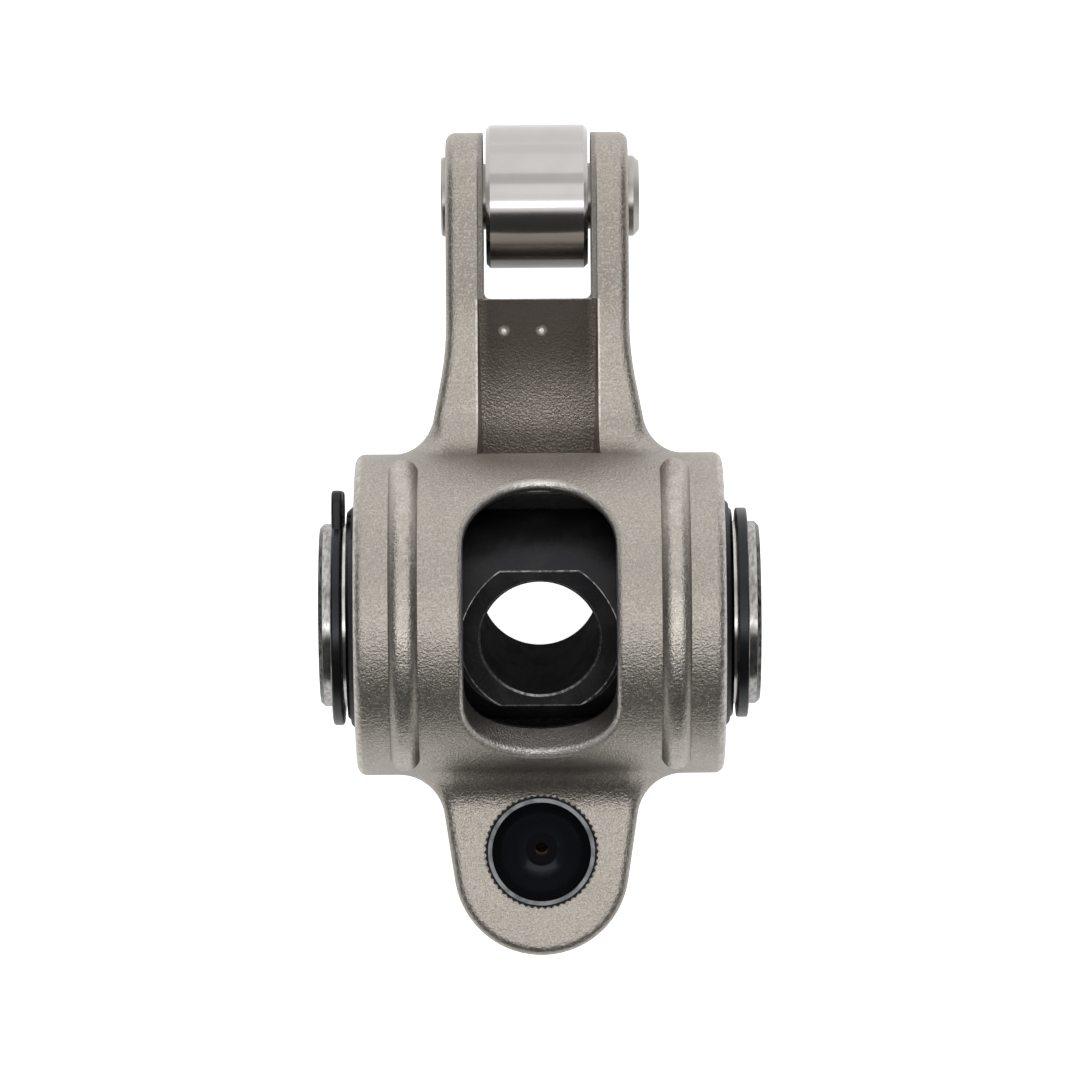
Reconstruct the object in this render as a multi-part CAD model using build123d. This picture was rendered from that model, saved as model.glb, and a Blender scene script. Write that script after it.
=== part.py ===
import math
import os

from build123d import *

# Stud-mount rocker arm with a roller tip, in millimetres.
# Origin at the centre of the trunnion, +X along the trunnion, +Y towards the roller,
# +Z out of the underside, the side with the pushrod cup that faces the cylinder head.
# The arm lies on its back, as it comes to rest on a bench.

# Needle bearings between trunnion and barrel, one on each side of the hub
journal_radius = 8.72
needle_radius = 0.794
needle_count = 20
needle_length = 6.9
bearing_play = 0.016
hub_half_length = 8.4
cage_length = 8.75
cage_end_play = 0.1
cage_wall = 1.0
cage_window_play = 0.05
needle_end_round = 0.15

# Trunnion
hub_clearance = 0.34
stud_bore_radius = 5.6
spotface_radius = 7.65
spotface_height = 7.44
stud_lean = 18.0
trunnion_end_land = 1.18
trunnion_chamfer = 0.4
bore_edge_break = 0.2

# Thrust washers and retaining rings
washer_thickness = 0.95
washer_proud = 0.3
washer_bore_play = 0.02
washer_rim_play = 0.03
washer_chamfer = 0.5
ring_float = 0.35
ring_thickness = 1.07
ring_groove_depth = 0.5
ring_groove_play = 0.05
ring_width_back = 2.3
ring_width_gap = 1.25
ring_lug_reach = 3.65
ring_lug_width = 3.4
ring_lug_gap = 2.6
ring_lug_hole_radius = 0.85
ring_lug_corner = 1.3
ring_turn = {"left": 0.0, "right": -90.0}

# Barrel of the cast body
barrel_wall = 4.97
barrel_edge_radius = 0.9
boss_height = 0.55
boss_wall = 0.72
boss_land = 0.12
boss_gap_start = 42.0
boss_gap_end = 108.0
boss_gap_side = "left"
relief_depth = 1.06
rib_width = 2.9
rib_height = 0.8
rib_inset = 4.65
rib_half_span = 14.7
rib_edge_radius = 1.2

# Slot for the stud on the underside, and the nut opening on the back
slot_half_width = 7.2
slot_top = 11.72
slot_top_rise = 5.3
slot_bottom = 13.1
slot_bottom_rise = 7.5
slot_bottom_lean = 31.0
slot_edge_radius = 0.6
nut_opening_width = 16.4
nut_opening_length = 19.6
nut_opening_corner = 5.0

# Roller, its axle and the fork that holds them
pivot_to_roller = 40.3
roller_radius = 6.94
roller_width = 9.8
roller_chamfer = 0.4
roller_bore_chamfer = 0.25
roller_lift = 0.16
roller_proud = 0.74
roller_side_play = 0.3
axle_radius = 3.175
axle_play = 0.025
axle_head_radius = 3.9
axle_head_height = 1.06
axle_head_bevel = 0.55
axle_rivet_radius = 3.84
axle_rivet_height = 0.45
axle_rivet_bevel = 0.15

# Arms of the fork and the web between them
arm_thickness = 3.6
arm_slope = 2.0
arm_back_corner = 4.0
arm_back_root_z = -12.6
arm_straight_end = 25.2
arm_flare = 1.9
arm_bend_radius = 30.0
arm_root_fillet = 4.3
arm_edge_radius = 1.0
fork_floor = 30.2
fork_corner = 0.8
web_nose_z = -3.4
web_nose_rise = 33.0
web_root_rise = 18.0
web_bend_y = 22.5
web_bend_radius = 28.0
web_thickness = 4.5
pocket_draft = 2.3
hollow_start_y = 20.5
hollow_corner = 2.5
test_mark_radius = 0.62
test_mark_depth = 0.45
test_mark_x = (-3.25, 0.35)
test_mark_y = 27.2

# Tail pad that carries the pushrod cup
pad_face_z = 0.9
pad_depth = 9.7
pad_root_fillet = 4.4
pad_flare = 1.52
pad_turn_half_width = 8.28
pad_turn_past_cup = 2.8
pad_edge_radius = 1.0

# Pushrod cup
cup_y = 22.7
cup_shank_radius = 5.25
cup_foot_bevel = 0.2
cup_knurl_radius = 5.47
cup_knurl_teeth = 54
cup_knurl_height = 0.35
cup_rim_radius = 5.1
cup_proud = 0.6
cup_seat_radius = 4.72
cup_well_radius = 1.55
cup_well_depth = 0.7
cup_floor = 1.2
cup_oil_radius = 0.6
oil_drill_radius = 0.75
oil_drill_lean = 38.0

# Sizes that follow from the ones above
needle_pitch = journal_radius + bearing_play + needle_radius
bearing_bore = needle_pitch + needle_radius + bearing_play
hub_radius = bearing_bore - hub_clearance
barrel_radius = bearing_bore + barrel_wall
relief_radius = bearing_bore + relief_depth
cage_start = hub_half_length + cage_end_play
washer_start = cage_start + cage_length + cage_end_play
washer_end = washer_start + washer_thickness
ring_start = washer_end + ring_float
ring_end = ring_start + ring_thickness
ring_seat_radius = journal_radius - ring_groove_depth
trunnion_end = ring_end + trunnion_end_land
boss_end = washer_end - washer_proud
barrel_half_length = boss_end - boss_height
rib_x = barrel_half_length - rib_inset
fork_half_width = roller_width / 2 + roller_side_play
arm_half_width = fork_half_width + arm_thickness
axle_y = pivot_to_roller
axle_z = roller_radius + roller_lift - barrel_radius
tip_radius = roller_radius - roller_proud
tip_y = axle_y + tip_radius
pad_turn_y = cup_y + pad_turn_past_cup
pad_taper = math.atan2(pad_flare, pad_turn_y - barrel_radius)
pad_end_radius = pad_turn_half_width / math.cos(pad_taper)
pad_end_y = pad_turn_y - pad_turn_half_width * math.tan(pad_taper) + pad_end_radius
pad_back_z = pad_face_z - pad_depth
cup_rim_z = pad_face_z + cup_proud
cup_bottom_z = cup_rim_z - cup_seat_radius - cup_well_depth - cup_floor
reach = 4 * barrel_radius
touch = 1e-3

sides = {"left": -1, "right": 1}


def along_x(shape):
    """Turn a shape built along Z so that its Z axis points along +X."""
    return Rot(0, 90, 0) * shape


def tube(outer, inner, start, end):
    """A plain ring about the X axis from start to end."""
    length = end - start
    ring = Cylinder(outer, length) - Cylinder(inner, length)
    return Pos((start + end) / 2, 0, 0) * along_x(ring)


def spun(points):
    """Revolve an outline of (x, radius) points about the X axis."""
    return revolve(make_face(Polyline(*points, close=True)), Axis.X)


def to_side(shape, side):
    """Keep a shape made on the +X side, or mirror it to the other one."""
    return shape if sides[side] > 0 else mirror(shape, Plane.YZ)


def on_barrel(edge):
    """True for an edge that lies on the round of the barrel, away from its ends."""
    points = [edge @ part for part in (0, 0.5, 1)]
    return all(
        abs(math.hypot(p.Y, p.Z) - barrel_radius) < touch and abs(p.X) < barrel_half_length - touch
        for p in points)


def arms_blank():
    """Both arms as one block, rounded along its outer edges."""
    slope = math.radians(arm_slope)
    tangent_y = axle_y + tip_radius * math.sin(slope)
    tangent_z = axle_z + tip_radius * math.cos(slope)
    near_z = tangent_z + tangent_y * math.tan(slope)
    heel_y = tip_y - arm_back_corner
    back_slope = (arm_back_root_z + barrel_radius) / (heel_y - barrel_radius)
    heel = (heel_y, -barrel_radius)
    toe = (tip_y, arm_back_corner - barrel_radius)
    side = make_face([
        Polyline((tangent_y, tangent_z), (0, near_z), (0, back_slope * heel_y - barrel_radius), heel),
        RadiusArc(heel, toe, -arm_back_corner),
        Line(toe, (tip_y, axle_z)),
        RadiusArc((tip_y, axle_z), (tangent_y, tangent_z), -tip_radius),
    ])
    widening = arm_flare / (arm_straight_end - barrel_radius)
    right = [
        (arm_half_width, tip_y), (arm_half_width, arm_straight_end),
        (arm_half_width + widening * arm_straight_end, 0),
    ]
    plan = make_face(Polyline(*right, *[(-x, y) for x, y in reversed(right)], close=True))
    bends = [v for v in plan.vertices() if abs(v.Y - arm_straight_end) < touch]
    plan = fillet(bends, arm_bend_radius)
    block = extrude(Plane.YZ * side, barrel_half_length, both=True) & extrude(plan, reach, both=True)
    return fillet(outer_edges(block), arm_edge_radius)


def pad_blank():
    """The tail pad before its bore, rounded along its outer edges."""
    narrowing = math.tan(pad_taper)
    root_x = pad_turn_half_width + narrowing * pad_turn_y
    turn = (pad_turn_half_width, -pad_turn_y)
    plan = make_face([
        Polyline(turn, (root_x, 0), (-root_x, 0), (-pad_turn_half_width, -pad_turn_y)),
        ThreePointArc((-pad_turn_half_width, -pad_turn_y), (0, -pad_end_y), turn),
    ])
    block = Pos(0, 0, pad_back_z) * extrude(plan, pad_depth)
    return fillet(outer_edges(block), pad_edge_radius)


def joined(barrel, block, way, radius):
    """The barrel with a block added towards +Y or -Y, filleted all round its root."""
    blank = barrel + block
    roots = [e for e in blank.edges() if on_barrel(e) and e.center().Y * way > barrel_radius / 4]
    return fillet(roots, radius)


def outer_edges(block):
    """The edges between the side walls of a block and its faces, away from the barrel axis."""
    def is_outer(edge):
        start, end = edge @ 0, edge @ 1
        upright = abs(start.X - end.X) < touch and abs(start.Y - end.Y) < touch
        centre = edge.center()
        return not upright and abs(centre.Y) > touch and (abs(centre.X) > touch or centre.Y < 0)
    return block.edges().filter_by(is_outer)


def sector(start, end, length):
    """A wedge about the X axis, its angles counted from +Z towards +Y."""
    first, last = math.radians(start), math.radians(end)
    middle = (first + last) / 2
    points = [(0, 0)] + [(reach * math.sin(a), reach * math.cos(a)) for a in (first, middle, last)]
    return extrude(Plane.YZ * make_face(Polyline(*points, close=True)), length, both=True)


def fork_gap():
    """The machined gap for the roller, right through the nose."""
    depth = reach - fork_floor
    gap = Pos(0, fork_floor + depth / 2) * Rectangle(2 * fork_half_width, depth)
    gap = fillet(gap.vertices().group_by(Axis.Y)[0], fork_corner)
    return extrude(gap, reach, both=True)


def web_line(y, thickness=0.0):
    """Height of the web's near side at y, or of its back for a given thickness."""
    bend_z = web_nose_z - (fork_floor - web_bend_y) * math.tan(math.radians(web_nose_rise))
    rise = web_nose_rise if y > web_bend_y else web_root_rise
    slope = math.radians(rise)
    return bend_z + (y - web_bend_y) * math.tan(slope) - thickness / math.cos(slope)


def web_pocket():
    """The cast pocket between the arms, open to the underside, with drafted walls."""
    low_z = web_line(0)
    height = barrel_radius - low_z
    spread = height * math.tan(math.radians(pocket_draft))
    section = make_face(Polyline(
        (-fork_half_width, low_z), (fork_half_width, low_z), (fork_half_width + spread, low_z + height),
        (-fork_half_width - spread, low_z + height), close=True))
    space = make_face(Polyline(
        (0, low_z), (web_bend_y, web_line(web_bend_y)), (fork_floor, web_nose_z), (reach, web_nose_z),
        (reach, barrel_radius), (0, barrel_radius), close=True))
    bend = space.vertices().sort_by_distance((web_bend_y, web_line(web_bend_y), 0))[0]
    space = fillet(bend, web_bend_radius)
    walls = extrude(Plane.XZ * section, -reach)
    pocket = walls & extrude(Plane.YZ * space, barrel_radius, both=True)
    return pocket - along_x(Cylinder(barrel_radius, 2 * barrel_half_length))


def back_hollow():
    """The hollow behind the web, which leaves it an even wall."""
    depth = fork_floor + fork_corner - hollow_start_y
    hollow = Pos(0, hollow_start_y + depth / 2) * Rectangle(2 * fork_half_width, depth)
    hollow = fillet(hollow.vertices().group_by(Axis.Y)[0], hollow_corner)
    behind = make_face(Polyline(
        (0, web_line(0, web_thickness)), (web_bend_y, web_line(web_bend_y, web_thickness)),
        (reach, web_line(reach, web_thickness)), (reach, -reach), (0, -reach), close=True))
    return extrude(hollow, -reach) & extrude(Plane.YZ * behind, barrel_radius, both=True)


def test_marks():
    """Two small round dents in the web, left by a hardness test."""
    ball = Sphere(test_mark_radius)
    centre_z = web_line(test_mark_y) + test_mark_radius - test_mark_depth
    return [Pos(x, test_mark_y, centre_z) * ball for x in test_mark_x]


def cup_seat_bore():
    """The bore in the pad for the pushrod cup, and the oil drilling below it."""
    bore = Pos(0, 0, cup_bottom_z) * Cylinder(
        cup_shank_radius, pad_face_z - cup_bottom_z, align=(Align.CENTER, Align.CENTER, Align.MIN))
    bore += Pos(0, 0, pad_face_z) * Cylinder(
        cup_knurl_radius, barrel_radius, align=(Align.CENTER, Align.CENTER, Align.MIN))
    drill = Cylinder(oil_drill_radius, reach, align=(Align.CENTER, Align.CENTER, Align.MAX))
    bore += Pos(0, 0, cup_bottom_z + oil_drill_radius) * Rot(oil_drill_lean, 0, 0) * drill
    return Pos(0, -cup_y, 0) * bore


def rocker_body():
    """The cast body with its machined bores, slot, fork and cup seat."""
    body = casting_blank()
    body -= stud_slot()
    rim = [e for e in body.edges() if on_barrel(e) and abs(e.center().X) < slot_half_width + touch
           and e.center().Z > 0 and abs(e.center().Y) < slot_bottom + touch]
    body = fillet(rim, slot_edge_radius)
    opening = RectangleRounded(nut_opening_width, nut_opening_length, nut_opening_corner)
    body -= extrude(opening, -reach)
    body -= tube(relief_radius, 0, -hub_half_length, hub_half_length)
    body -= tube(bearing_bore, 0, -boss_end, boss_end)
    body -= fork_gap()
    body -= web_pocket()
    body -= back_hollow()
    body -= test_marks()
    body -= cup_seat_bore()
    body -= Pos(0, axle_y, axle_z) * along_x(Cylinder(axle_radius, 2 * barrel_half_length))
    return body


def casting_blank():
    """Barrel, arms and pad in one piece, with the bosses and ribs on the barrel."""
    blank = along_x(Cylinder(barrel_radius, 2 * barrel_half_length))
    blank = joined(blank, pad_blank(), -1, pad_root_fillet)
    blank = joined(blank, arms_blank(), 1, arm_root_fillet)
    rims = blank.edges().filter_by(GeomType.CIRCLE).sort_by(Axis.X)
    blank = fillet([rims[0], rims[-1]], barrel_edge_radius)
    boss = spun([
        (hub_half_length, hub_radius), (hub_half_length, bearing_bore + boss_wall),
        (barrel_half_length, bearing_bore + boss_wall), (boss_end, bearing_bore + boss_land),
        (boss_end, hub_radius),
    ])
    gap = Pos(barrel_half_length + reach, 0, 0) * sector(boss_gap_start, boss_gap_end, reach)
    for side in sides:
        blank += to_side(boss - gap if side == boss_gap_side else boss, side)
        blank += to_side(rib(), side)
    return blank


def rib():
    """One raised band across the underside of the barrel."""
    section = Pos(rib_x, barrel_radius) * Rectangle(rib_width, 2 * rib_height)
    section = fillet(section.vertices().group_by(Axis.Y)[-1], rib_edge_radius)
    band = revolve(section, Axis.X)
    ends = extrude(SlotOverall(2 * rib_half_span, rib_width, rotation=90), reach)
    return band & Pos(rib_x, 0, 0) * ends


def stud_slot():
    """Room for the stud on the underside: straight at the nose end, leaning at the tail end."""
    straight_y = slot_top - slot_top_rise
    round_y = slot_bottom_rise - slot_bottom
    middle = Pos(0, (straight_y + round_y) / 2) * Rectangle(2 * slot_half_width, straight_y - round_y)
    upper = middle + Pos(0, straight_y) * Ellipse(slot_half_width, slot_top_rise)
    lower = middle + Pos(0, round_y) * Ellipse(slot_half_width, slot_bottom_rise)
    lower_z = math.sqrt(barrel_radius**2 - slot_bottom**2)
    lower = Pos(0, 0, lower_z) * lower
    lean = math.radians(slot_bottom_lean)
    outward = Vector(0, -math.sin(lean), math.cos(lean))
    leaning = extrude(lower, barrel_radius, dir=outward) + extrude(lower, lower_z / math.cos(lean), dir=-outward)
    return extrude(upper, reach) + leaning


def trunnion():
    """The turned shaft with its hub, cross-bored and spotfaced for the stud and its nut."""
    half = [
        (0, hub_radius), (hub_half_length, hub_radius), (hub_half_length, journal_radius),
        (ring_start - ring_groove_play, journal_radius), (ring_start - ring_groove_play, ring_seat_radius),
        (ring_end, ring_seat_radius), (ring_end, journal_radius),
        (trunnion_end - trunnion_chamfer, journal_radius), (trunnion_end, journal_radius - trunnion_chamfer),
        (trunnion_end, 0),
    ]
    shaft = spun(half + [(-x, r) for x, r in reversed(half[1:])])
    shaft -= Rot(stud_lean, 0, 0) * Cylinder(stud_bore_radius, 3 * hub_radius)
    for turn in (0, 180):
        pocket = Pos(0, 0, spotface_height) * Cylinder(
            spotface_radius, hub_radius, align=(Align.CENTER, Align.CENTER, Align.MIN))
        shaft -= Rot(stud_lean + turn, 0, 0) * pocket
    mouths = [e for e in shaft.edges().filter_by(GeomType.CIRCLE) if abs(e.radius - stud_bore_radius) < touch]
    return chamfer(mouths, bore_edge_break)


def needle_cage():
    """The cage that spaces the needles of one bearing."""
    start, end = cage_start, cage_start + cage_length
    cage = tube(needle_pitch + cage_wall / 2, needle_pitch - cage_wall / 2, start, end)
    window = Box(needle_length + 2 * cage_window_play, 2 * (needle_radius + cage_window_play), 2 * cage_wall)
    for i in range(needle_count):
        cage -= Rot(360 * i / needle_count, 0, 0) * Pos((start + end) / 2, 0, needle_pitch) * window
    return cage


def needle(index):
    """One needle, lying in its window of the cage."""
    pin = along_x(Cylinder(needle_radius, needle_length))
    pin = fillet(pin.edges().filter_by(GeomType.CIRCLE), needle_end_round)
    return Rot(360 * index / needle_count, 0, 0) * Pos(cage_start + cage_length / 2, 0, needle_pitch) * pin


def thrust_washer():
    """The washer that closes the mouth of the bearing bore."""
    inner = journal_radius + washer_bore_play
    outer = bearing_bore - washer_rim_play
    return spun([
        (washer_start, inner), (washer_start, outer), (washer_end - washer_chamfer, outer),
        (washer_end, outer - washer_chamfer), (washer_end, inner),
    ])


def retaining_ring(turn):
    """An external retaining ring with two lugs, its lugs towards +Y before it is turned."""
    outer = ring_seat_radius + (ring_width_back + ring_width_gap) / 2
    shift = (ring_width_back - ring_width_gap) / 2
    lug_length = ring_lug_reach + ring_seat_radius / 2
    lug = RectangleRounded(lug_length, ring_lug_width, ring_lug_corner)
    lug -= Pos(lug_length / 2 - ring_lug_reach / 2, 0) * Circle(ring_lug_hole_radius)
    lug_x = ring_seat_radius + ring_lug_reach - lug_length / 2
    lug_y = (ring_lug_gap + ring_lug_width) / 2
    flat = Pos(-shift, 0) * Circle(outer)
    flat -= Pos(outer, 0) * Rectangle(2 * outer, ring_lug_gap + ring_lug_width)
    flat += [Pos(lug_x, y) * lug for y in (-lug_y, lug_y)]
    flat -= Circle(ring_seat_radius)
    flat -= Pos(outer, 0) * Rectangle(2 * outer, ring_lug_gap)
    ring = extrude(Plane.YZ * flat, ring_thickness)
    return Rot(turn, 0, 0) * Pos(ring_start, 0, 0) * ring


def roller():
    """The ground steel roller that runs on the valve tip."""
    wheel = Cylinder(roller_radius, roller_width) - Cylinder(axle_radius + axle_play, roller_width)
    rims = wheel.edges().filter_by(GeomType.CIRCLE).group_by(lambda e: round(e.radius, 4))
    wheel = chamfer(rims[-1], roller_chamfer)
    bores = wheel.edges().filter_by(GeomType.CIRCLE).group_by(lambda e: round(e.radius, 4))
    wheel = chamfer(bores[0], roller_bore_chamfer)
    return Pos(0, axle_y, axle_z) * along_x(wheel)


def roller_axle():
    """The axle, with a domed head on the +X arm and a riveted end on the other."""
    head_x = arm_half_width + axle_head_height
    rivet_x = -arm_half_width - axle_rivet_height
    pin = spun([
        (rivet_x, 0), (rivet_x, axle_rivet_radius - axle_rivet_bevel),
        (rivet_x + axle_rivet_bevel, axle_rivet_radius), (-arm_half_width, axle_rivet_radius),
        (-arm_half_width, axle_radius), (arm_half_width, axle_radius), (arm_half_width, axle_head_radius),
        (head_x - axle_head_bevel, axle_head_radius), (head_x, axle_head_radius - axle_head_bevel),
        (head_x, 0),
    ])
    return Pos(0, axle_y, axle_z) * pin


def pushrod_cup():
    """The pressed-in cup, with a knurled collar, a ball seat and an oil hole."""
    seat_z = cup_rim_z - math.sqrt(cup_seat_radius**2 - cup_well_radius**2)
    well_z = cup_rim_z - cup_seat_radius - cup_well_depth
    collar_z = pad_face_z + cup_knurl_height
    section = make_face([
        Polyline(
            (cup_seat_radius, cup_rim_z), (cup_rim_radius, cup_rim_z), (cup_shank_radius, collar_z),
            (cup_shank_radius, cup_bottom_z + cup_foot_bevel),
            (cup_shank_radius - cup_foot_bevel, cup_bottom_z), (cup_oil_radius, cup_bottom_z),
            (cup_oil_radius, well_z), (cup_well_radius, well_z), (cup_well_radius, seat_z)),
        RadiusArc((cup_well_radius, seat_z), (cup_seat_radius, cup_rim_z), -cup_seat_radius),
    ])
    cup = revolve(Plane.XZ * section, Axis.Z)
    tooth = math.pi / cup_knurl_teeth
    points = []
    for i in range(cup_knurl_teeth):
        for step, radius in ((0, cup_knurl_radius), (1, cup_shank_radius)):
            angle = (2 * i + step) * tooth
            points.append((radius * math.cos(angle), radius * math.sin(angle)))
    knurl = make_face(Polyline(*points, close=True)) - Circle(cup_shank_radius * math.cos(tooth))
    cup += Pos(0, 0, pad_face_z) * extrude(knurl, cup_knurl_height)
    return Pos(0, -cup_y, 0) * cup


def all_parts():
    """Every piece by the name of its node."""
    parts = {
        "rocker_body": rocker_body(),
        "trunnion": trunnion(),
        "roller": roller(),
        "roller_axle": roller_axle(),
        "pushrod_cup": pushrod_cup(),
    }
    for side in sides:
        parts[f"{side}_needle_cage"] = to_side(needle_cage(), side)
        parts[f"{side}_thrust_washer"] = to_side(thrust_washer(), side)
        parts[f"{side}_retaining_ring"] = to_side(retaining_ring(ring_turn[side]), side)
        for i in range(needle_count):
            parts[f"{side}_needle_{i + 1:02d}"] = to_side(needle(i), side)
    return parts


os.makedirs("parts", exist_ok=True)
for name, shape in all_parts().items():
    shape.label = name
    export_step(shape, f"parts/{name}.step")
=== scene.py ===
import bpy
import math
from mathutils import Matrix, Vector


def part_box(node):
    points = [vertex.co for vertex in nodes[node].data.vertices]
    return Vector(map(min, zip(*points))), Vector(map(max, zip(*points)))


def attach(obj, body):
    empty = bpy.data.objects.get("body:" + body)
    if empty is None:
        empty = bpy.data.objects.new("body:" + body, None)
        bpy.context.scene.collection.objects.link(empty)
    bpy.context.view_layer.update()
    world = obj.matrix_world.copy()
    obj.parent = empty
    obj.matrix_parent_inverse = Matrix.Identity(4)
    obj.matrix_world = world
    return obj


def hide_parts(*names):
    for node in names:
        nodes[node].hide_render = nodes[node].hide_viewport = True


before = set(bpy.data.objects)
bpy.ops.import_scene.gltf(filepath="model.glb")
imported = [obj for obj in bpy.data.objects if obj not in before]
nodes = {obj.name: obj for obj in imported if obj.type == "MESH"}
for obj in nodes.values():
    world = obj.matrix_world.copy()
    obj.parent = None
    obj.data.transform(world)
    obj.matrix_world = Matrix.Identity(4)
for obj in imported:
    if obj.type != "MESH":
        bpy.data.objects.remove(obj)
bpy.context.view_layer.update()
print("frame loaded:", len(nodes), "nodes")


class Shade:
    # a socket that takes part in sums; put() adds any other node

    def __init__(self, tree, socket=None):
        self.tree = tree
        self.socket = socket

    def put(self, kind, settings=None, sockets=None, out=0):
        node = self.tree.nodes.new(kind)
        for name, value in (settings or {}).items():
            setattr(node, name, value)
        for name, value in (sockets or {}).items():
            if isinstance(value, Shade):
                self.tree.links.new(value.socket, node.inputs[name])
            else:
                node.inputs[name].default_value = value
        return Shade(self.tree, node.outputs[out] if node.outputs else None)

    def sum(self, operation, *values):
        return self.put("ShaderNodeMath", {"operation": operation}, dict(enumerate(values)))

    def __add__(self, other):
        return self.sum("ADD", self, other)

    def __radd__(self, other):
        return self.sum("ADD", other, self)

    def __sub__(self, other):
        return self.sum("SUBTRACT", self, other)

    def __rsub__(self, other):
        return self.sum("SUBTRACT", other, self)

    def __mul__(self, other):
        return self.sum("MULTIPLY", self, other)

    def __rmul__(self, other):
        return self.sum("MULTIPLY", other, self)

    def __pow__(self, other):
        return self.sum("POWER", self, other)

    def __abs__(self):
        return self.sum("ABSOLUTE", self)

    def __or__(self, other):
        return self.sum("MAXIMUM", self, other)

    def split(self):
        # the three coordinates of a vector
        node = self.put("ShaderNodeSeparateXYZ", {}, {"Vector": self}).socket.node
        return [Shade(self.tree, node.outputs[axis]) for axis in "XYZ"]

    def step(self, low, high):
        # 0 below low, 1 above high, or the other way round when high is the smaller
        return self.put("ShaderNodeMapRange", {"interpolation_type": "SMOOTHSTEP"},
                        {"Value": self, "From Min": low, "From Max": high})

    def near(self, centre, width):
        # 1 at centre, fading to 0 at width from it
        return abs(self - centre).step(width, 0.4 * width)


def startMaterial(name):
    # places are in millimetres from here on
    material = bpy.data.materials.new(name)
    material.use_nodes = True
    material.node_tree.nodes.clear()
    metres = Shade(material.node_tree).put("ShaderNodeTexCoord", out="Object")
    place = metres.put("ShaderNodeVectorMath", {"operation": "SCALE"}, {"Vector": metres, "Scale": 1000.0})
    return material, place


def noise(place, perMillimetre, detail=2.0, stretch=(1.0, 1.0, 1.0)):
    scale = tuple(perMillimetre * share for share in stretch)
    spread = place.put("ShaderNodeVectorMath", {"operation": "MULTIPLY"}, {0: place, 1: scale})
    sockets = {"Vector": spread, "Scale": 1.0, "Detail": detail}
    return place.put("ShaderNodeTexNoise", {}, sockets, out="Fac")


def mixColour(factor, first, second):
    # for colours, the Mix node's inputs are numbers 6 and 7, and its output is number 2
    sockets = {"Factor": factor, 6: first, 7: second}
    return factor.put("ShaderNodeMix", {"data_type": "RGBA"}, sockets, out=2)


def finishMaterial(material, place, colour, metallic, roughness, height, specular=0.5):
    # height is in millimetres
    normal = place.put("ShaderNodeBump", {}, {"Height": height, "Strength": 1.0, "Distance": 0.001})
    sockets = {"Base Color": colour, "Metallic": metallic, "Roughness": roughness, "Normal": normal,
               "Specular IOR Level": specular}
    surface = place.put("ShaderNodeBsdfPrincipled", {}, sockets)
    place.put("ShaderNodeOutputMaterial", {}, {"Surface": surface})
    return material


castSteel = {
    # the blasted skin, its stains and pits, its rubbed high spots and its bare edges; the stain colour also
    # lays a painted shade band, the rubbed colour painted light, and the bare colour painted highlights
    "skin": (0.42, 0.388, 0.344, 1.0), "stainAndShade": (0.31, 0.277, 0.245, 1.0), "pit": (0.2, 0.178, 0.155, 1.0),
    "rubbedAndPaintedLight": (0.6, 0.566, 0.52, 1.0), "bare": (0.78, 0.75, 0.71, 1.0),
    # the bearing bore, the web and the milled fork, all three darkened as painted shade, and the oil under
    # the cup
    "bore": (0.055, 0.055, 0.055, 1.0), "pocket": (0.18, 0.165, 0.152, 1.0),
    "milledInShade": (0.13, 0.125, 0.118, 1.0), "oil": (0.06, 0.042, 0.028, 1.0),
    "metallic": 0.92, "roughness": 0.34,
    # how fine each pattern is, where three numbers are along X, Y and Z, and how high in millimetres
    "grainPerMm": 4.4, "grainDepth": 0.078, "gritPerMm": 9.0, "gritDepth": 0.028,
    "lumpsPerMm": 0.8, "lumpsDepth": 0.02, "milling": (0.3, 9.0, 0.6), "millingDepth": 0.01,
    "stainsPerMm": 0.17, "wearPerMm": 0.9, "chipsPerMm": 1.8,
    # how much of each colour shows, from 0 to 1
    "stainMix": 0.25, "pitMix": 0.55, "grainMix": 0.5, "ribMix": 0.4, "rimMix": 0.45, "dentMix": 0.8,
    "pocketMix": 0.9,
    # the barrel, its ribs, its ends and the slot for the stud, in millimetres
    "barrelRadius": 15.31, "barrelEnd": 17.45, "boreRadius": 11.6,
    "ribFoot": 0.35, "ribHeight": 0.8, "ribPlace": 12.8, "ribHalfWidth": 1.45, "ribCrest": 0.5,
    "rimWidth": 0.5, "rimDepth": 0.6, "rimX": 8.2, "rimY": 14.2, "wallTop": -9.0, "wallBottom": -11.5,
    # the arms, the fork, the web with its dents, and the oil way under the cup
    "forkHalfWidth": 5.2, "forkFloor": 30.2, "pocketHalfWidth": 5.77, "pocketStart": 18.0,
    "armTop": -0.6, "armSlope": 2.0, "edgeStart": 17.0, "pocketEdge": 0.22, "forkEdge": 0.2,
    "shadeBandY": 34.3, "shadeBandReach": 8.0, "dents": (-3.25, 0.35), "dentY": 27.2, "dentRadius": 0.62,
    "oilWayY": -22.7, "oilWayRadius": 1.3,
    "soft": 0.1,  # the width over which a sharp mask fades
}


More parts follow.
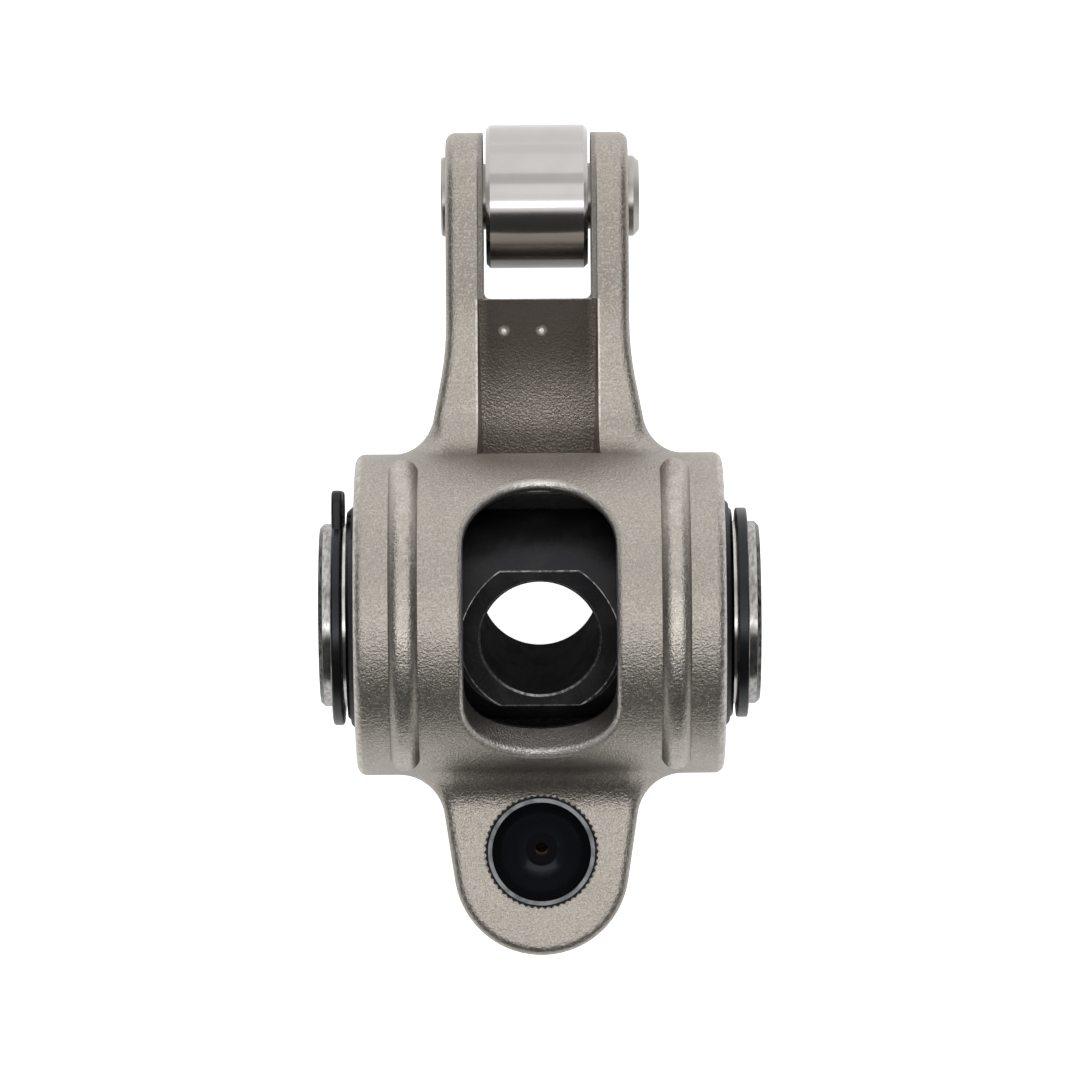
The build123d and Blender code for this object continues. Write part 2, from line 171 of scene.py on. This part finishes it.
def makeCastSteel():
    look = castSteel
    material, place = startMaterial("cast steel")
    x, y, z = place.split()
    out = abs(x)
    radius = (y * y + z * z) ** 0.5
    barrel, floor, half, soft = look["barrelRadius"], look["forkFloor"], look["forkHalfWidth"], look["soft"]
    grain = noise(place, look["grainPerMm"], 3.0)
    grit = noise(place, look["gritPerMm"])
    lumps = noise(place, look["lumpsPerMm"])
    milling = noise(place, 1.0, 2.0, look["milling"])
    stains = noise(place, look["stainsPerMm"], 3.0).step(0.4, 0.7)
    worn = noise(place, look["wearPerMm"], 3.0).step(0.2, 0.7)
    chips = noise(place, look["chipsPerMm"], 3.0).step(0.38, 0.6)

    # the barrel: its bore in painted shade, its ribs, the rims of its ends, the slot's rim with wear and a
    # painted highlight, and the slot's lower wall lighter as painted light
    # painted shade: inside the bore radius the cast steel is coloured near black
    bore = radius.step(look["boreRadius"] + soft, look["boreRadius"])
    ribs = radius.step(barrel + look["ribFoot"], barrel + look["ribHeight"])
    ribs = ribs * abs(out - look["ribPlace"]).step(look["ribHalfWidth"], look["ribCrest"])
    rims = out.near(look["barrelEnd"] - 0.25, look["rimWidth"]) * radius.step(barrel - 0.8, barrel - 0.6)
    # wear and a painted highlight along the rim of the slot
    slotRim = radius.step(barrel - 0.02, barrel - 0.15)
    slotRim = slotRim * radius.step(barrel - look["rimDepth"] - soft, barrel - look["rimDepth"])
    slotRim = slotRim * out.step(look["rimX"] + soft, look["rimX"])
    slotRim = slotRim * abs(y).step(look["rimY"] + soft, look["rimY"])
    # painted light: the slot's lower wall, facing the lamps, takes the lighter rubbed colour
    lowWall = radius.step(barrel - 0.1, barrel - 0.5) * y.step(look["wallTop"], look["wallBottom"])

    # the arms: their inner top edges with wear and a painted highlight, and a painted shade band across
    # them beside the roller
    inFork = y.step(floor - soft, floor)
    belowTop = z + y * math.tan(math.radians(look["armSlope"])) - look["armTop"]
    # wear and a painted highlight along the inner top edges of the arms and fork
    innerEdgeWearAndHighlight = out.near(look["pocketHalfWidth"] + 0.04, look["pocketEdge"]) * (1.0 - inFork)
    innerEdgeWearAndHighlight = innerEdgeWearAndHighlight | out.near(half + 0.04, look["forkEdge"]) * inFork
    innerEdgeWearAndHighlight = innerEdgeWearAndHighlight * belowTop.step(-0.2, -0.1) * y.step(look["edgeStart"], look["edgeStart"] + 2.0)
    # painted shade: a darker band across the arms beside the roller, in the stain colour
    shadeBand = y.near(look["shadeBandY"], look["shadeBandReach"]) * (0.75 + 0.25 * stains)

    # the milled fork in painted shade, a painted shade strip along the fork's edges, the web with its
    # dents, darkened towards the fork as painted shade, and the oil way in the pad
    # the milled faces of the fork, coloured dark as painted shade, with milling marks as bumps
    milledInShade = out.step(half + 0.05, half + 0.03) * inFork
    cutSide = out.step(half - 0.3, half - 0.1)
    # painted shade: a dark strip along the fork's top edges, in the milled faces' colour
    forkEdgeShade = out.step(look["pocketHalfWidth"] + 0.1, look["pocketHalfWidth"] - 0.3) * inFork
    forkEdgeShade = forkEdgeShade * (0.5 + 0.5 * milledInShade) * (1.0 - milledInShade * (1.0 - cutSide))
    # painted shade on the web between the arms, growing towards the fork
    pocket = out.step(half + 0.3, half - 0.6) * y.step(look["pocketStart"], floor - 2.0)
    # distances from the dents and from the oil way are squared
    fromLeft, fromRight = [(x - dentX) ** 2.0 + (y - look["dentY"]) ** 2.0 for dentX in look["dents"]]
    dents = fromLeft.step(look["dentRadius"] ** 2.0, 0.05) | fromRight.step(look["dentRadius"] ** 2.0, 0.05)
    oilWay = (x * x + (y - look["oilWayY"]) ** 2.0).step(look["oilWayRadius"] ** 2.0, 1.2)

    # rubbed rib crests and grain tops, and painted light on the slot's lower wall
    rubbedAndPaintedLight = ribs * worn * look["ribMix"] + grain.step(0.48, 0.66) * look["grainMix"] | lowWall
    bare = rims * chips * look["rimMix"] | innerEdgeWearAndHighlight * (0.25 + 0.45 * chips)
    bare = bare | slotRim * (0.55 + 0.45 * worn) | dents * look["dentMix"]
    colour = mixColour(stains * look["stainMix"] | shadeBand, look["skin"], look["stainAndShade"])
    colour = mixColour(grit.step(0.55, 0.36) * look["pitMix"], colour, look["pit"])
    colour = mixColour(rubbedAndPaintedLight, colour, look["rubbedAndPaintedLight"])
    colour = mixColour(bare, colour, look["bare"])
    colour = mixColour(forkEdgeShade, colour, look["milledInShade"])
    colour = mixColour(pocket * (1.0 - milledInShade) * (1.0 - dents) * look["pocketMix"], colour, look["pocket"])
    colour = mixColour(bore, colour, look["bore"])
    colour = mixColour(oilWay, colour, look["oil"])
    roughness = look["roughness"] + 0.14 * (grain - 0.5) - 0.06 * ribs + 0.2 * bore
    height = grain * look["grainDepth"] + grit * look["gritDepth"] + lumps * look["lumpsDepth"]
    height = height * (1.0 - 0.2 * ribs + 1.6 * lowWall - 0.35 * pocket)
    height = height * (1.0 - milledInShade) + milling * look["millingDepth"] * milledInShade
    return finishMaterial(material, place, colour, look["metallic"], roughness, height)


trunnionSteel = {
    # black oxide and where it is rubbed, its bare edges, the ground journals, the ends and the bore
    "oxide": (0.02, 0.0205, 0.0225, 1.0), "rub": (0.038, 0.038, 0.04, 1.0), "bare": (0.36, 0.35, 0.34, 1.0),
    "race": (0.6, 0.59, 0.57, 1.0), "end": (0.25, 0.243, 0.236, 1.0), "bore": (0.03, 0.03, 0.032, 1.0),
    "metallic": 0.6, "roughness": 0.42, "specular": 0.3,
    # how fine each pattern is, and how high in millimetres
    "speckPerMm": 4.0, "speckDepth": 0.008, "lines": (11.0, 0.5, 0.5), "linesDepth": 0.006,
    "turnedPerMm": 6.0, "turnedDepth": 0.01, "cloudPerMm": 0.35, "scuffsPerMm": 0.9, "breaksPerMm": 1.6,
    # sizes in millimetres, and the lean of the bore in degrees
    "hubHalfLength": 8.4, "hubRadius": 10.0, "lean": 18.0, "seatHeight": 7.44, "seatRadius": 7.65,
    "boreRadius": 5.6, "edgeWidth": 0.11, "mouthWidth": 0.14, "endStart": 0.5, "tipLength": 0.36,
}


def makeTrunnion():
    look = trunnionSteel
    material, place = startMaterial("trunnion steel")
    x, y, z = place.split()
    out = abs(x)
    radius = (y * y + z * z) ** 0.5
    cloud = noise(place, look["cloudPerMm"], 3.0).step(0.4, 0.7)
    speck = noise(place, look["speckPerMm"]).step(0.58, 0.72)
    lines = noise(place, 1.0, 2.0, look["lines"])
    turned = noise(place.put("ShaderNodeCombineXYZ", {}, {"X": radius}), look["turnedPerMm"])
    breaks = noise(place, look["breaksPerMm"], 3.0).step(0.38, 0.6)

    # the hub: the edges of its spotfaces and of the bore, by the distance from the bore's axis and along it
    lean = math.radians(look["lean"])
    hub, seat = look["hubRadius"], look["seatHeight"]
    across = y * math.cos(lean) + z * math.sin(lean)
    along = abs(z * math.cos(lean) - y * math.sin(lean))
    fromBore = (x * x + across * across) ** 0.5
    flatHalf = math.sqrt(hub ** 2 - seat ** 2)
    cornerX = math.sqrt(look["seatRadius"] ** 2 - flatHalf ** 2)
    onSeat = along.step(seat + 0.15, seat + 0.05) * along.step(seat - 0.25, seat - 0.2)
    onRound = radius.step(hub - 0.12, hub - 0.05)
    straight = abs(across).near(flatHalf, look["edgeWidth"]) * along.step(seat - 0.1, seat - 0.05)
    straight = straight * out.step(cornerX + 0.05, cornerX)
    arcs = fromBore.near(look["seatRadius"], look["edgeWidth"]) * (onSeat | onRound)
    arcs = arcs * abs(across).step(flatHalf + 0.05, flatHalf)
    mouth = fromBore.near(look["boreRadius"] + 0.12, look["mouthWidth"]) * onSeat
    worn = (straight | arcs | mouth) * (0.25 + 0.75 * breaks)
    bore = fromBore.step(look["boreRadius"] + 0.03, look["boreRadius"] + 0.01)

    # outwards from the hub: the journals, the ends from within the rings on, their tips and their faces
    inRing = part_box("right_retaining_ring")[0][0] * 1000.0
    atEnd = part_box("trunnion")[1][0] * 1000.0
    race = out.step(look["hubHalfLength"] - 0.02, look["hubHalfLength"] + 0.02)
    end = out.step(inRing + look["endStart"], inRing + look["endStart"] + 0.1)
    face = out.step(atEnd - 0.03, atEnd - 0.01)
    tip = out.step(atEnd - look["tipLength"] - 0.06, atEnd - look["tipLength"]) * (1.0 - face)
    scuffs = noise(place, look["scuffsPerMm"], 3.0, (3.5, 1.4, 1.4)).step(0.3, 0.65)
    scuffs = scuffs * (1.0 - face) + turned * 0.5 * face

    colour = mixColour(cloud * 0.6 + speck * 0.4, look["oxide"], look["rub"])
    colour = mixColour(worn, colour, look["bare"])
    colour = mixColour(race, colour, look["race"])
    colour = mixColour(end * (1.0 - 0.6 * scuffs), colour, look["end"])
    colour = mixColour(tip * (0.6 + 0.4 * scuffs), colour, look["oxide"])
    colour = mixColour(bore, colour, look["bore"])
    roughness = look["roughness"] + 0.1 * (cloud - 0.5) - 0.12 * worn - 0.2 * race + 0.03 * end + 0.2 * bore
    metallic = look["metallic"] + 0.35 * (worn | race | bore)
    height = lines * look["linesDepth"] + speck * look["speckDepth"] * (1.0 - race)
    height = height + turned * look["turnedDepth"] * face
    return finishMaterial(material, place, colour, metallic, roughness, height, look["specular"])


cupSteel = {
    "bowl": (0.026, 0.028, 0.034, 1.0), "outside": (0.02, 0.021, 0.023, 1.0),
    "rim": (0.175, 0.18, 0.185, 1.0), "wellShade": (0.004, 0.004, 0.005, 1.0),
    "metallic": 0.6, "roughness": 0.3, "specular": 0.2,
    "smearPerMm": 0.6, "smearDepth": 0.004, "turned": (0.6, 0.6, 18.0), "turnedDepth": 0.002,
    # in millimetres
    "centreY": -22.7, "rimHeight": 1.5, "bowlRadius": 4.72, "wellRadius": 1.55,
}


def makeCupSteel():
    look = cupSteel
    material, place = startMaterial("pushrod cup steel")
    x, y, z = place.split()
    fromAxis = (x * x + (y - look["centreY"]) ** 2.0) ** 0.5
    rim = z.step(look["rimHeight"] - 0.12, look["rimHeight"] - 0.04)
    rim = rim * fromAxis.step(look["bowlRadius"] - 0.08, look["bowlRadius"] - 0.02)
    # painted shade: the well at the bottom of the bowl is coloured near black
    wellShade = fromAxis.step(look["wellRadius"] + 0.05, look["wellRadius"] - 0.05)
    bowl = fromAxis.step(look["bowlRadius"], look["bowlRadius"] - 0.05)
    smear = noise(place, look["smearPerMm"], 3.0)
    turned = noise(place, 1.0, 1.0, look["turned"])
    colour = mixColour(bowl, look["outside"], look["bowl"])
    colour = mixColour(wellShade, colour, look["wellShade"])
    colour = mixColour(rim * (0.4 + 0.6 * smear.step(0.3, 0.6)), colour, look["rim"])
    roughness = look["roughness"] - 0.14 * bowl + 0.08 * (smear - 0.5) + 0.06 * rim
    metallic = look["metallic"] + 0.4 * (rim | wellShade)
    height = turned * look["turnedDepth"] + smear * look["smearDepth"]
    return finishMaterial(material, place, colour, metallic, roughness, height, look["specular"])


ringSteel = {
    "oxide": (0.025, 0.026, 0.028, 1.0), "bare": (0.30, 0.295, 0.285, 1.0),
    "metallic": 0.7, "roughness": 0.3, "cloudPerMm": 1.4, "cloudDepth": 0.006, "breaksPerMm": 0.45,
    # in millimetres: the edges are bare outside bareRadius, as wear and a painted highlight
    "edgeWidth": 0.1, "bareRadius": 9.0,
}


def makeRingSteel():
    look = ringSteel
    material, place = startMaterial("spring steel")
    x, y, z = place.split()
    low, high = [corner[0] * 1000.0 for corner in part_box("right_retaining_ring")]
    radius = (y * y + z * z) ** 0.5
    cloud = noise(place, look["cloudPerMm"], 3.0)
    breaks = noise(place, look["breaksPerMm"], 3.0).step(0.4, 0.6)
    # wear and a painted highlight on the ring's outer edges
    edgeWearAndHighlight = (abs(x).near(low, look["edgeWidth"]) + abs(x).near(high, look["edgeWidth"])) * breaks
    edgeWearAndHighlight = edgeWearAndHighlight * radius.step(look["bareRadius"], look["bareRadius"] + 0.3)
    colour = mixColour(edgeWearAndHighlight, look["oxide"], look["bare"])
    roughness = look["roughness"] + 0.12 * (cloud - 0.5)
    return finishMaterial(material, place, colour, look["metallic"], roughness, cloud * look["cloudDepth"])


rollerSteel = {"ground": (0.53, 0.51, 0.495, 1.0), "dull": (0.44, 0.42, 0.407, 1.0), "roughness": 0.145}
axleSteel = {"ground": (0.5, 0.48, 0.45, 1.0), "dull": (0.36, 0.34, 0.31, 1.0), "roughness": 0.32}
cageSteel = {"ground": (0.45, 0.43, 0.40, 1.0), "dull": (0.36, 0.345, 0.32, 1.0), "roughness": 0.38}
needleSteel = {"ground": (0.64, 0.63, 0.61, 1.0), "dull": (0.56, 0.55, 0.53, 1.0), "roughness": 0.14}
washerSteel = {"ground": (0.02, 0.02, 0.022, 1.0), "dull": (0.035, 0.035, 0.037, 1.0), "roughness": 0.42}
grinding = {"turned": (14.0, 0.25, 0.25), "along": (0.06, 2.4, 2.4), "cloudPerMm": 0.3, "depth": 0.003}


def makeGroundSteel(name, look):
    # fine lines round the axis, and longer ones along it
    material, place = startMaterial(name)
    turned = noise(place, 1.0, 3.0, grinding["turned"])
    along = noise(place, 1.0, 2.0, grinding["along"])
    cloud = noise(place, grinding["cloudPerMm"])
    colour = mixColour(cloud, look["ground"], look["dull"])
    roughness = look["roughness"] + 0.06 * (turned - 0.5) + 0.03 * (cloud - 0.5)
    height = turned * grinding["depth"] + along * grinding["depth"]
    return finishMaterial(material, place, colour, 1.0, roughness, height)


finishes = {
    "rocker_body": makeCastSteel(),
    "trunnion": makeTrunnion(),
    "roller": makeGroundSteel("roller steel", rollerSteel),
    "roller_axle": makeGroundSteel("axle steel", axleSteel),
    "pushrod_cup": makeCupSteel(),
    "needle_cage": makeGroundSteel("cage steel", cageSteel),
    "needle": makeGroundSteel("needle steel", needleSteel),
    "retaining_ring": makeRingSteel(),
    "thrust_washer": makeGroundSteel("washer steel", washerSteel),
}
print("made", len(finishes), "finishes")


# the rolled edge is in millimetres, and the angles are in degrees
ringShape = {"rolledEdge": 0.36, "steps": 4, "sharp": 40.0, "flat": 0.5}


def roundedRing(name):
    # the stamped ring again, with its rolled edges
    ring = nodes[name].copy()
    ring.data = nodes[name].data.copy()
    ring.name = "rolled_" + name
    ring.parent = None
    bpy.context.scene.collection.objects.link(ring)
    bpy.ops.object.select_all(action="DESELECT")
    ring.select_set(True)
    bpy.context.view_layer.objects.active = ring
    bpy.ops.object.mode_set(mode="EDIT")
    bpy.ops.mesh.select_all(action="SELECT")
    bpy.ops.mesh.remove_doubles(threshold=1e-6)
    bpy.ops.mesh.dissolve_limited(angle_limit=math.radians(ringShape["flat"]))
    bpy.ops.object.mode_set(mode="OBJECT")
    bevel = ring.modifiers.new("rolled edge", "BEVEL")
    bevel.width = ringShape["rolledEdge"] / 1000.0
    bevel.segments = ringShape["steps"]
    bevel.angle_limit = math.radians(ringShape["sharp"])
    bpy.ops.object.modifier_apply(modifier=bevel.name)
    bpy.ops.object.shade_smooth_by_angle(angle=math.radians(ringShape["sharp"]))
    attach(ring, "trunnion")
    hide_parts(name)
    return ring


for name in ("left_retaining_ring", "right_retaining_ring"):
    ring = roundedRing(name)
    ring.data.materials.clear()
    ring.data.materials.append(finishes["retaining_ring"])
    print(ring.name, len(ring.data.polygons), "faces")

for name, piece in nodes.items():
    # left_needle_07 gets the finish of a needle
    kind = name.removeprefix("left_").removeprefix("right_").rstrip("0123456789").rstrip("_")
    piece.data.materials.clear()
    piece.data.materials.append(finishes[kind])
print("finishes given to", len(nodes), "nodes")


studio = {
    # lengths are in millimetres, apart from floorSize in metres
    "floor": (0.9, 0.9, 0.9, 1.0), "floorZ": -15.31, "floorSize": 4.0,
    # the floor's glow to the camera, and in reflections, where it fades towards the object as a painted
    # shadow and is full from glowFull outwards
    "cameraGlow": 1.0, "glossGlow": 0.5, "glowFull": 45.0,
    "white": (1.0, 1.0, 1.0, 1.0), "worldStrength": 0.05,
    "lampDistance": 700.0, "lampWidth": 1000.0, "aim": (0.0, 7.0, 0.0),
    "lamps": {
        # an arc of flat panels: start and end, in degrees from straight up towards the nose, and brightness
        "fade": (-26.0, -18.0, 1.0),
        "strip": (-18.0, -9.5, 3.5),
        "overhead": (-9.5, 3.0, 1.15),
        "glance": (3.0, 19.0, 1.25),
        "seam": (19.0, 36.0, 0.78),
        "front": (36.0, 72.0, 1.18),
        "nose": (72.0, 129.0, 1.1),
    },
}


def makeStudio():
    bpy.ops.mesh.primitive_plane_add(size=studio["floorSize"], location=(0, 0, studio["floorZ"] / 1000.0))
    floor = bpy.context.object
    floor.name = "floor"
    material, place = startMaterial("white floor")
    ray = place.put("ShaderNodeLightPath", out="Is Camera Ray")
    shine = place.put("ShaderNodeLightPath", out="Is Glossy Ray")
    paper = place.put("ShaderNodeBsdfDiffuse", {}, {"Color": studio["floor"]})
    x, y, z = place.split()
    # painted shadow: the glow in reflections fades out close to the object
    outside = ((x * x + y * y) ** 0.5).step(0.0, studio["glowFull"])
    glow = ray * studio["cameraGlow"] + shine * outside * studio["glossGlow"]
    glow = place.put("ShaderNodeEmission", {}, {"Color": studio["white"], "Strength": glow})
    both = place.put("ShaderNodeAddShader", {}, {0: paper, 1: glow})
    place.put("ShaderNodeOutputMaterial", {}, {"Surface": both})
    floor.data.materials.append(material)
    world = bpy.data.worlds.new("studio")
    bpy.context.scene.world = world
    world.use_nodes = True
    world.node_tree.nodes.clear()
    sockets = {"Color": studio["white"], "Strength": studio["worldStrength"]}
    sky = Shade(world.node_tree).put("ShaderNodeBackground", {}, sockets)
    sky.put("ShaderNodeOutputWorld", {}, {"Surface": sky})
    away = studio["lampDistance"] / 1000.0
    aimX, aimY, aimZ = [length / 1000.0 for length in studio["aim"]]
    for name, (first, last, brightness) in studio["lamps"].items():
        lamp = bpy.data.lights.new(name, "AREA")
        lamp.shape = "RECTANGLE"
        lamp.size = studio["lampWidth"] / 1000.0
        lamp.size_y = 2.0 * away * math.tan(math.radians(last - first) / 2.0)
        lamp.energy = brightness * math.pi * lamp.size * lamp.size_y
        holder = bpy.data.objects.new(name, lamp)
        bpy.context.scene.collection.objects.link(holder)
        tilt = math.radians(first + last) / 2.0
        holder.location = (aimX, aimY + away * math.sin(tilt), aimZ + away * math.cos(tilt))
        holder.rotation_euler = (-tilt, 0.0, 0.0)
    print("studio built")


# lengths are in millimetres, with the frame's width at height 0, and the roll is in degrees
camera = {"place": (0.07, 7.02, 600.0), "frameWidth": 103.14, "sensor": 36.0, "roll": -0.42}


def makeCamera():
    eye = bpy.data.cameras.new("camera")
    eye.sensor_width = camera["sensor"]
    eye.lens = camera["sensor"] * camera["place"][2] / camera["frameWidth"]
    eye.clip_start = 0.01
    holder = bpy.data.objects.new("camera", eye)
    bpy.context.scene.collection.objects.link(holder)
    holder.location = [length / 1000.0 for length in camera["place"]]
    holder.rotation_euler = (0.0, 0.0, math.radians(camera["roll"]))
    bpy.context.scene.camera = holder
    print("camera set")


makeStudio()
makeCamera()
bpy.context.scene.view_settings.view_transform = "Standard"
